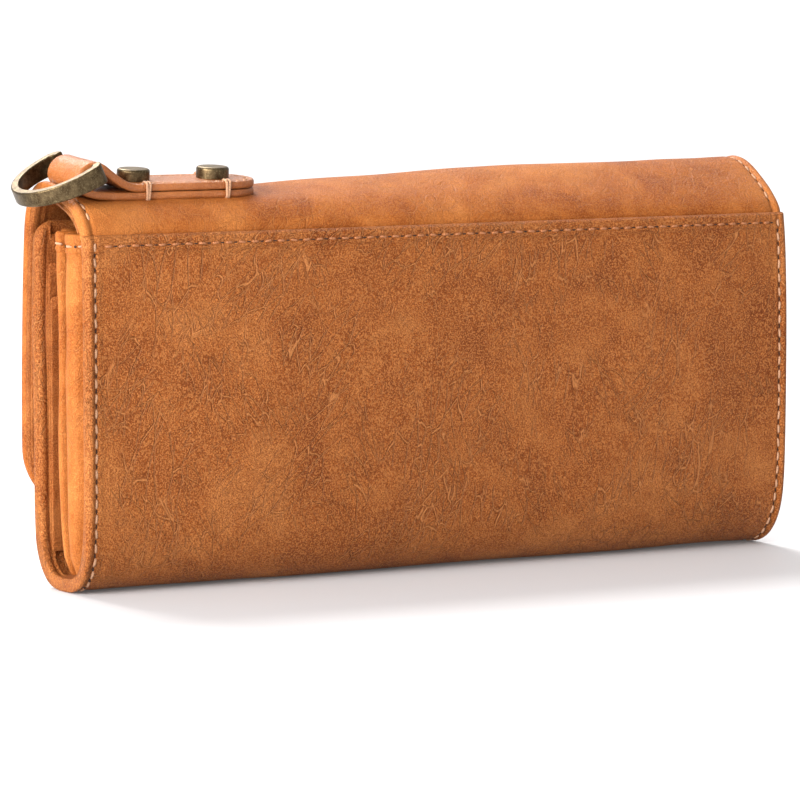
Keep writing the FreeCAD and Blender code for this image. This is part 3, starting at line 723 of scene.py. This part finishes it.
# second layer: its own rolled edge, a little shorter than the outer one
LINER_INSET = 0.35
LINER_W = HALF_W - LINER_INSET
LINER_T = 1.7
LINER_LENGTH = flap_length - 4.0
liner_us = stations(2 * LINER_W, 2.4) - LINER_W
liner_vs = LINER_INSET + stations(LINER_LENGTH, 2.0)
liner_flat = flap_surface(liner_us, liner_vs, LINER_W, LINER_INSET)
liner_grid = liner_flat - grid_normals(liner_flat) * (FLAP_T - 0.12)
liner_v = np.broadcast_to(liner_vs, liner_grid.shape[:2])
liner_d = corner_distance(
    liner_grid[..., 0], liner_v - LINER_INSET, LINER_W, LINER_LENGTH, FLAP_R, FLAP_TOP_R
)
liner_side = LINER_W - np.abs(liner_grid[..., 0])
liner_seam_d = np.where(liner_v > flap_length - 16, liner_side, liner_d)
liner_waves = undulate(liner_grid, 0.05, 0.2, 40) * smooth(liner_d, 2, 12)
liner = Sheet(
    "flap_lining_leather", liner_us, liner_vs, liner_grid, liner_d, LEATHER_IN,
    LINER_T / 2 - 0.35 * smooth(liner_d, 2.2, 4.5),
    stands_for="flap_lining", slot="lining", lift_in=groove(liner_seam_d, 2.5, 0.35, 0.5) + liner_waves,
)

# facing inside the front of the flap, below its turned top edge
FACING_W = HALF_W - 0.9
FACING_START = 1.0
FACING_HEIGHT = 61.0
FACING_R = FLAP_R - 0.6
FACING_SEAM = 2.3
facing_us = stations(2 * FACING_W, 3.0) - FACING_W
facing_vs = FACING_START + stations(FACING_HEIGHT, 2.4)
facing_flat = flap_surface(facing_us, facing_vs, FACING_W, FACING_START, FACING_R)
facing_depth = FLAP_T + 0.75 + 0.7 * (1 - smooth(HALF_W - np.abs(facing_flat[..., 0]), 2.6, 4.8))
facing_grid = facing_flat - grid_normals(facing_flat) * facing_depth[..., None]
facing_v = np.broadcast_to(facing_vs, facing_grid.shape[:2])
facing_d = corner_distance(
    facing_grid[..., 0], facing_v - FACING_START, FACING_W, FACING_HEIGHT, FACING_R, 0.8
)
facing = Sheet(
    "flap_facing_leather", facing_us, facing_vs, facing_grid, facing_d, LEATHER_IN, 0.45,
    body="flap", stands_for="flap_facing", slot="leather",
    lift_in=groove(facing_d, FACING_SEAM, 0.3, 0.5),
)

flap_threads = Seams("flap_seam", THREAD_PALE)


def flap_outline(inset, top_v):
    """(u, v) pairs down one side, round the lower corners and up the other, inside the edge."""
    pairs = [(HALF_W - inset, v) for v in line(top_v, FLAP_R, 160)]
    r = FLAP_R - inset
    for a in line(0, math.pi / 2, 24)[1:]:
        x = HALF_W - FLAP_R + r * math.cos(a)
        v = FLAP_R - r * math.sin(a)
        width = width_at(np.array([v]), HALF_W, flap_length, FLAP_R, FLAP_TOP_R)[0]
        pairs.append((x * HALF_W / width, v))
    left = [(-u, v) for u, v in pairs[::-1]]
    middle = [(u, inset) for u in line(pairs[-1][0], left[0][0], 200)[1:-1]]
    return pairs + middle + left


flap_threads.row(*flap.sample(flap_outline(FLAP_SEAM, flap_length - 5.0)), radius=0.34, reach=0.7)
facing_threads = Seams("flap_facing_seam", THREAD_PALE)
facing_seam_v = FACING_START + FACING_HEIGHT - FACING_SEAM
facing_run = [(u, facing_seam_v) for u in line(FACING_W - 2.6, -FACING_W + 2.6, 200)]
facing_threads.row(*facing.sample(facing_run, inner=True), radius=0.3)


# ------------------------------------------------------------------- gussets
# plans (x, y) of the two folds at the ring end
FRONT_FOLD = [
    (88.0, -10.9), (91.0, -10.4), (92.3, -9.2), (92.0, -7.6), (91.4, -6.2), (92.2, -5.0), (94.2, -4.2),
    (96.0, -3.8), (96.75, -2.8), (96.1, -1.9), (94.2, -1.6), (91.0, -1.6), (86.5, -1.7),
]
REAR_FOLD = [
    (86.5, -0.5), (91.0, -0.4), (94.2, -0.4), (95.9, 0.1), (96.7, 1.5), (96.7, 3.2), (95.8, 4.9),
    (94.0, 5.8), (92.6, 6.6), (92.2, 7.7), (93.0, 8.8), (93.4, 9.8), (92.4, 10.6), (89.0, 10.8),
]
GUSSET_TOP = 84.2
GUSSET_LOW = 3.4
GUSSET_SEAM = 2.9

def fold_sheet(name, path, mirrored, node, top, seed):
    """A bellows fold: a bent strip standing on the base, its top edge turned and stitched."""
    curve, length = through(path, 700)
    us = stations(length, 0.55, 2.0, 0.3, 0.6)
    height = top - GUSSET_LOW
    vs = stations(height, 1.8, 5.0)
    plan = at_stations(curve, length, us)
    if mirrored:
        plan = plan[::-1] * (-1, 1)
    z = GUSSET_LOW + vs
    x = np.broadcast_to(plan[:, 0][:, None], (len(us), len(vs))).copy()
    y = np.broadcast_to(plan[:, 1][:, None], x.shape).copy()
    zz = np.broadcast_to(z[None], x.shape).copy()
    low = 1 - smooth(zz, 2.0, 34.0)
    sign = -1 if mirrored else 1
    y = 1.2 + (y - 1.2) * (1 - 0.3 * low)
    x = x - sign * (1.1 * low**2 + 1.6 * (1 - smooth(zz, 2.0, 9.0)))
    wobble = np.array([noise.noise(Vector((seed, 3.1, h * 0.045))) for h in z])
    x = x + 0.45 * wobble[None] * smooth(np.abs(x), 88, 95)
    y = y + 0.35 * np.array([noise.noise(Vector((seed, 9.4, h * 0.05))) for h in z])[None]
    grid = np.dstack([x, y, zz])
    du = np.minimum(us, us[-1] - us)[:, None] + 0 * z[None]
    dv = np.minimum(vs, height - vs)[None] + 0 * du
    d = np.minimum(du, dv)
    from_top = (height - vs)[None] + 0 * du
    turned = 0.3 * (1 - smooth(from_top, 4.3, 4.7))
    seam = groove(from_top, GUSSET_SEAM, 0.32, 0.5)
    folds = undulate(grid, 0.09, 0.16, seed) * smooth(d, 1, 8)
    # the gussets wear the lighter leather copy: painted light
    sheet = Sheet(
        name, us, vs, grid, d, LEATHER_SMOOTH_LIT, 0.5, body="wallet_body", stands_for=node, slot="leather",
        lift_out=turned + seam + folds, lift_in=turned,
    )
    run = [(u, height - GUSSET_SEAM) for u in line(3.0, length - 5.0, 100)]
    fold_threads.row(*sheet.sample(run), radius=0.3, reach=0.62, pitch=3.1)


fold_threads = Seams("gusset_seam", THREAD_PALE)
fold_sheet("gusset_front_ring_end", FRONT_FOLD, False, "gusset_ring_end_front", GUSSET_TOP + 0.2, 1)
fold_sheet("gusset_rear_ring_end", REAR_FOLD, False, "gusset_ring_end_rear", GUSSET_TOP - 0.2, 2)
fold_sheet("gusset_front_far_end", FRONT_FOLD, True, "gusset_far_end_front", GUSSET_TOP, 3)
fold_sheet("gusset_rear_far_end", REAR_FOLD, True, "gusset_far_end_rear", GUSSET_TOP, 4)


# ------------------------------------------------- inner walls and card slots
def wall(name, node, half_w, z0, z1, y_face, thick, facing_y, material, slot, r_top, seed, seam, bend=None):
    """Upright leather panel with rolled edges, seamed below its top. facing_y: the side it shows."""
    us = stations(2 * half_w, 3.0, 3.5, 0.35, thick / 2) - half_w
    vs = stations(z1 - z0, 2.6, 4.5, 0.35, thick / 2)
    widths = width_at(vs, half_w, z1 - z0, 0, r_top)
    x = us[:, None] * widths[None] / half_w
    z = np.broadcast_to(z0 + vs, x.shape)
    y = np.full(x.shape, float(y_face))
    if bend is not None:
        y = y + bend(x, z)
    if facing_y > 0:
        x = -x
    grid = np.dstack([x, y, z])
    d = corner_distance(x, z - z0, half_w, z1 - z0, 0, r_top)
    lift = undulate(grid, 0.04, 0.12, seed) * smooth(d, 1, 8)
    lift = lift + groove(z1 - z, seam, 0.25, 0.5) * (half_w - np.abs(x) > 3)
    sheet = Sheet(
        name, us, vs, grid, d, material, thick / 2,
        body="wallet_body", stands_for=node, slot=slot, lift_out=lift,
    )
    run = [(u, z1 - z0 - seam) for u in line(-half_w + 4, half_w - 4, 160)]
    inner_threads.row(*sheet.sample(run), radius=0.26, reach=0.6, pitch=3.0)


def slot_corner(top):
    """Small outward curl of a front slot's upper corners."""
    def bend(x, z):
        return 0.5 * np.exp(-(((np.abs(x) - 92.6) / 1.3) ** 2) - (((z - top + 1.6) / 1.8) ** 2))

    return bend


inner_threads = Seams("inner_seam", THREAD_BROWN)
SLOT_TOPS = (83.3, 76.5, 68.5)
SLOT_STEP_Y = 0.62
SLOT_T = 0.75
for i, top in enumerate(SLOT_TOPS):
    wall(
        f"card_slot_front_{i + 1}", f"front_card_slot_{i + 1}", 95.0 - 0.25 * i, 8.0, top,
        -12.35 + SLOT_STEP_Y * i, SLOT_T, 1, LEATHER_IN, "lining", 1.2, 11 + i, 2.2, bend=slot_corner(top),
    )
    wall(
        f"card_slot_rear_{i + 1}", f"rear_card_slot_{i + 1}", 84.0, 9.0, top,
        10.25 - SLOT_STEP_Y * i, SLOT_T, -1, LEATHER_IN, "lining", 1.2, 21 + i, 2.2,
    )
wall("back_wall_leather", "back_wall", 95.6, 10.5, 83.9, 10.9, 1.3, -1, LEATHER, "leather", 2.0, 31, 2.6)


# --------------------------------------------------------------- coin pocket
COIN_Y = -0.8
COIN_LOW, COIN_END_HEIGHT = 7.4, 58.5
TAPE_HALF = 84.0


def u_sheet(name, node, half_w, half_y, z_low, z_top, radius, thick, material, slot, seed, seam=None):
    """Open-topped pocket: back, bottom and front in one strip."""
    pts = [(half_y, z) for z in np.linspace(z_top, z_low + radius, 9)]
    pts += [
        (half_y - radius + radius * math.cos(a), z_low + radius - radius * math.sin(a))
        for a in np.linspace(0, math.pi / 2, 7)[1:]
    ]
    pts += [(-y, z) for y, z in pts[::-1][1:]]
    pts = [(y + COIN_Y, z) for y, z in pts]
    curve, length = through(pts, 600)
    us = stations(2 * half_w, 3.0, 4.0, 0.35, thick / 2) - half_w
    vs = stations(length, 2.2, 5.0, 0.35, thick / 2)
    yz = at_stations(curve, length, vs)
    x = np.broadcast_to(us[:, None], (len(us), len(vs)))
    grid = np.dstack([x, np.broadcast_to(yz[:, 0], x.shape), np.broadcast_to(yz[:, 1], x.shape)])
    v = np.broadcast_to(vs, x.shape)
    d = corner_distance(x, v, half_w, length)
    lift = undulate(grid, 0.05, 0.1, seed) * smooth(d, 1, 8)
    if seam:
        lift = lift + groove(np.minimum(v, length - v), seam, 0.22, 0.45) * (half_w - np.abs(x) > 3)
    sheet = Sheet(
        name, us, vs, grid, d, material, thick / 2,
        body="wallet_body", stands_for=node, slot=slot, lift_out=lift,
    )
    for v0 in (seam, length - seam) if seam else ():
        run = [(u, v0) for u in line(half_w - 5, -half_w + 5, 160)]
        inner_threads.row(*sheet.sample(run), radius=0.26, reach=0.6, pitch=3.0)


u_sheet(
    "coin_pocket_leather", "coin_pocket_shell", 88.0, 5.0, 6.0, 68.0, 3.0, 1.0, LEATHER_IN, "leather", 51,
    seam=2.4,
)
u_sheet(
    "coin_pocket_cloth", "coin_pocket_lining", 84.0, 4.0, 7.0, 59.5, 2.4, 0.4, CLOTH, "fabric_lining", 52
)


def coin_end(name, node, side):
    """V-folded end of the coin pocket."""
    path = [
        (84.6, -4.4), (87.0, -4.3), (89.6, -3.6), (91.0, -2.2), (91.4, -0.8), (91.0, 0.6), (89.6, 2.0),
        (87.0, 2.7), (84.6, 2.8),
    ]
    curve, length = through(path, 300)
    us = stations(length, 0.9, 1.6, 0.3, 0.4)
    plan = at_stations(curve, length, us)
    if side < 0:
        plan = plan[::-1] * (-1, 1)
    vs = stations(COIN_END_HEIGHT, 2.2, 4.0, 0.35, 0.4)
    x = np.broadcast_to(plan[:, 0][:, None], (len(us), len(vs)))
    y = np.broadcast_to(plan[:, 1][:, None], x.shape)
    z = np.broadcast_to(COIN_LOW + vs, x.shape)
    d = np.minimum(np.minimum(us, us[-1] - us)[:, None], np.minimum(vs, COIN_END_HEIGHT - vs)[None])
    Sheet(
        name, us, vs, np.dstack([x, y, z]), d, LEATHER_IN, 0.4,
        body="wallet_body", stands_for=node, slot="leather",
    )


coin_end("coin_pocket_gusset_ring_end", "coin_pocket_end_ring_side", 1)
coin_end("coin_pocket_gusset_far_end", "coin_pocket_end_far_side", -1)


def tape(name, node, side):
    """Zip tape: flat beside the teeth, then turned down inside the pocket."""
    pts = [
        (2.3, 69.5), (2.7, 69.5), (3.0, 69.35), (3.25, 68.9), (3.35, 68.0), (3.4, 66.0), (3.45, 63.0),
        (3.45, 60.2),
    ]
    pts = [(COIN_Y + side * y, z) for y, z in pts]
    curve, length = through(pts, 200)
    us = stations(2 * TAPE_HALF, 3.0, 3.0, 0.4, 0.25) - TAPE_HALF
    vs = stations(length, 0.8, 1.6, 0.3, 0.25)
    yz = at_stations(curve, length, vs)
    x = np.broadcast_to(us[:, None] * side, (len(us), len(vs)))
    grid = np.dstack([x, np.broadcast_to(yz[:, 0], x.shape), np.broadcast_to(yz[:, 1], x.shape)])
    d = corner_distance(x, np.broadcast_to(vs, x.shape), TAPE_HALF, length)
    rib = 0.06 * np.sin(np.broadcast_to(vs, x.shape) * 4.2)
    Sheet(
        name, us, vs, grid, d, TAPE, 0.22,
        body="wallet_body", stands_for=node, slot="zip_tape", lift_out=rib,
    )


tape("zip_tape_front_cloth", "zip_tape_front", -1)
tape("zip_tape_rear_cloth", "zip_tape_rear", 1)


# -------------------------------------------------------------------- strap
STRAP_Y, STRAP_Z, STRAP_TILT = -3.0, 92.06, math.radians(-4.5)
STRAP_T = 1.8
STRAP_W = 8.0  # half width
STRAP_GAP = 0.2
STRAP_END_X = 45.9
STRAP_SEAM = 1.7
END_R = STRAP_W - 0.2
TIE_X = (56.0, 77.0)
TIE_R = 0.34


def on_strap(p):
    """Strap frame (x, across, up) to the row frame, mm."""
    p = np.asarray(p, float)
    c, s = math.cos(STRAP_TILT), math.sin(STRAP_TILT)
    y = STRAP_Y + p[..., 1] * c - p[..., 2] * s
    z = STRAP_Z + p[..., 1] * s + p[..., 2] * c
    return np.stack([p[..., 0], y, z], -1)


# the strap's upper layer, its loop round the ring's bar, and its lower layer
STRAP_RUN = (STRAP_END_X, 52, 60, 68, 75, 80.5)
strap_path = [(x, STRAP_T * 1.5 + STRAP_GAP) for x in STRAP_RUN]
strap_path += [
    (83.6, 4.1), (86.5, 6.0), (88.9, 7.75), (90.9, 8.36), (93.0, 7.8), (94.4, 6.3), (94.7, 4.5),
    (93.7, 2.8), (91.4, 1.65), (88.0, 1.15), (84.5, 0.95),
]
strap_path += [(x, STRAP_T / 2) for x in STRAP_RUN[::-1]]
strap_curve, strap_length = through(strap_path, 1200)
strap_us = stations(2 * STRAP_W, 0.9, 2.4, 0.3, 0.5) - STRAP_W
strap_vs = stations(strap_length, 0.9, 3.0, 0.3, 0.5)
widths = width_at(strap_vs, STRAP_W, strap_length, END_R, END_R)
across = strap_us[:, None] * widths[None] / STRAP_W
run_xz = at_stations(strap_curve, strap_length, strap_vs)
run_x, run_z = (np.broadcast_to(run_xz[:, k], across.shape) for k in (0, 1))
strap_grid = on_strap(np.dstack([run_x, -across, run_z]))
strap_grid = strap_grid + grid_normals(strap_grid) * (STRAP_T / 2)
strap_v = np.broadcast_to(strap_vs, across.shape)
strap_d = corner_distance(across, strap_v, STRAP_W, strap_length, END_R, END_R)
strap_wear = undulate(strap_grid, 0.12, 0.09, 71) * smooth(strap_d, 0.5, 3)
flat_top = 1 - smooth(strap_v, 33.0, 36.5)
strap = Sheet(
    "ring_strap_leather", strap_us, strap_vs, strap_grid, strap_d, STRAP, STRAP_T / 2,
    body="flap", stands_for="ring_strap", slot="strap_leather",
    round_r=0.45, lift_out=strap_wear + groove(strap_d, STRAP_SEAM, 0.22, 0.45) * flat_top,
)
strap_threads = Seams("strap_seam", THREAD_PALE)


def strap_outline(inset, v_end):
    """(u, v) pairs along one side, round the strap's end and back, inside the edge."""
    pairs = [(STRAP_W - inset, v) for v in line(v_end, END_R, 60)]
    r = END_R - inset
    straight = STRAP_W - END_R
    for a in line(0, math.pi, 40)[1:-1]:
        x = r * math.cos(a) + (straight if math.cos(a) > 0 else -straight)
        v = END_R - r * math.sin(a)
        width = width_at(np.array([v]), STRAP_W, strap_length, END_R, END_R)[0]
        pairs.append((x * STRAP_W / width, v))
    return pairs + [(-(STRAP_W - inset), v) for v in line(END_R, v_end, 60)]


strap_threads.row(*strap.sample(strap_outline(STRAP_SEAM, 33.0)), radius=0.3, reach=0.55, pitch=2.7)


def tube(points, radius, sides=8):
    """Round thread along a polyline: vertices and faces."""
    p = np.asarray(points, float)
    tangent = np.gradient(p, axis=0)
    tangent /= np.linalg.norm(tangent, axis=1, keepdims=True)
    ref = np.array([1.0, 0.0, 0.0])
    verts, faces = [], []
    for c, t in zip(p, tangent):
        a = np.cross(t, ref)
        a /= np.linalg.norm(a)
        b = np.cross(t, a)
        for k in range(sides):
            ang = 2 * math.pi * k / sides
            verts.append(c + radius * (a * math.cos(ang) + b * math.sin(ang)))
    for i in range(len(p) - 1):
        for k in range(sides):
            m = (k + 1) % sides
            faces.append((i * sides + k, i * sides + m, (i + 1) * sides + m, (i + 1) * sides + k))
    faces.append(tuple(range(sides - 1, -1, -1)))
    faces.append(tuple((len(p) - 1) * sides + k for k in range(sides)))
    return verts, faces


def ties():
    """Wraps of thread round both edges of the strap beside each rivet."""
    top = 2 * STRAP_T + STRAP_GAP
    verts, faces = [], []
    for x0 in TIE_X:
        for side in (1, -1):
            for k, dx in enumerate((-0.32, 0.3)):
                loop = [
                    (1.7, top - 0.1), (1.6, top + 0.2), (0.9, top + 0.26), (0.2, top + 0.2),
                    (-0.22, top - 0.2), (-0.3, top - 0.8), (-0.3, 1.8), (-0.28, 0.8), (-0.2, 0.25),
                    (0.0, 0.05), (0.3, -0.02),
                ]
                curve, _ = through(loop, 26)
                lean = 0.12 * (k - 0.5)
                pts = [(x0 + dx + lean * (z - 2), side * (STRAP_W - w), z) for w, z in curve]
                v, f = tube(on_strap(pts), TIE_R)
                faces.extend(tuple(len(verts) + i for i in q) for q in f)
                verts.extend(v)
    return make_object("strap_tie_threads", verts, faces, THREAD_PALE)


strap_ties = ties()
finish_piece(strap_ties, "flap", "strap_ties")


# ------------------------------------------------------------- ride
for obj in [flap.obj, liner.obj] + flap_threads.build("flap"):
    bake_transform(obj)
for seam_set, body in (
    (side_threads, "wallet_body"), (hem_threads, "wallet_body"), (fold_threads, "wallet_body"),
    (inner_threads, "wallet_body"), (facing_threads, "flap"), (strap_threads, "flap"),
):
    for obj in seam_set.build(body):
        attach(obj, body)

METAL = (
    "d_ring", "strap_rivets", "zip_teeth", "zip_stops", "zip_slider", "zip_pull",
    "snap_socket", "snap_socket_washer", "snap_stud", "snap_stud_washer",
)
for name in METAL + ("shell_lining",):
    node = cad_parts[name]
    node.data.materials.clear()
    node.data.materials.append(LINING_WALL if name == "shell_lining" else BRASS)


# ---------------------------------------------------- floor, lights and camera
FLOOR_Z = -0.0002  # just under the leather's surface relief
FLOOR_SIZE = 80.0


def studio():
    """White floor, even sky and three lamps, in metres."""
    bpy.ops.mesh.primitive_plane_add(size=FLOOR_SIZE, location=(0, 0, FLOOR_Z))
    floor = bpy.context.active_object
    floor.name = "floor"
    mat, _, bsdf = node_tree("floor_white")
    bsdf.inputs["Base Color"].default_value = (0.56, 0.56, 0.58, 1)
    bsdf.inputs["Roughness"].default_value = 0.55
    bsdf.inputs["Specular IOR Level"].default_value = 0.25
    bsdf.inputs["Emission Color"].default_value = (1, 1, 1, 1)
    bsdf.inputs["Emission Strength"].default_value = 0.06
    floor.data.materials.append(mat)
    world = bpy.data.worlds.new("studio")
    scene.world = world
    world.use_nodes = True
    background = world.node_tree.nodes["Background"]
    background.inputs["Color"].default_value = (1, 1, 1, 1)
    background.inputs["Strength"].default_value = 0.66
    target = Vector((0, 0, 0.05))
    for name, kind, place, size, power, colour in (
        ("key", "AREA", (1.25, 0.30, 0.42), 0.7, 35.0, (1.0, 0.97, 0.93)),
        ("side", "AREA", (0.72, 0.66, 0.36), 0.5, 4.6, (1.0, 0.97, 0.93)),
        ("back_top", "SUN", (-0.1, -0.9, 1.15), math.radians(28), 4.6, (1.0, 0.98, 0.95)),
    ):
        data = bpy.data.lights.new(name, kind)
        if kind == "AREA":
            data.size = size
        else:
            data.angle = size
        data.energy = power
        data.color = colour
        lamp = bpy.data.objects.new(name, data)
        lamp.location = place
        lamp.rotation_euler = (target - Vector(place)).to_track_quat("-Z", "Y").to_euler()
        scene.collection.objects.link(lamp)


studio()

# camera: behind the wallet and towards its ring end
VIEW_YAW, VIEW_RISE, VIEW_DISTANCE = math.radians(30.0), math.radians(5.618), 1.1507
aim = Vector((0.006185, 0.0, 0.04063))
offset = Vector(
    (
        math.sin(VIEW_YAW) * math.cos(VIEW_RISE),
        math.cos(VIEW_YAW) * math.cos(VIEW_RISE),
        math.sin(VIEW_RISE),
    )
)
camera_data = bpy.data.cameras.new("camera")
camera_data.lens = 213.2
camera_data.sensor_width = 36.0
camera = bpy.data.objects.new("camera", camera_data)
camera.location = aim + offset * VIEW_DISTANCE
camera.rotation_euler = (-offset).to_track_quat("-Z", "Y").to_euler()
scene.collection.objects.link(camera)
scene.camera = camera
scene.view_settings.view_transform = "Standard"
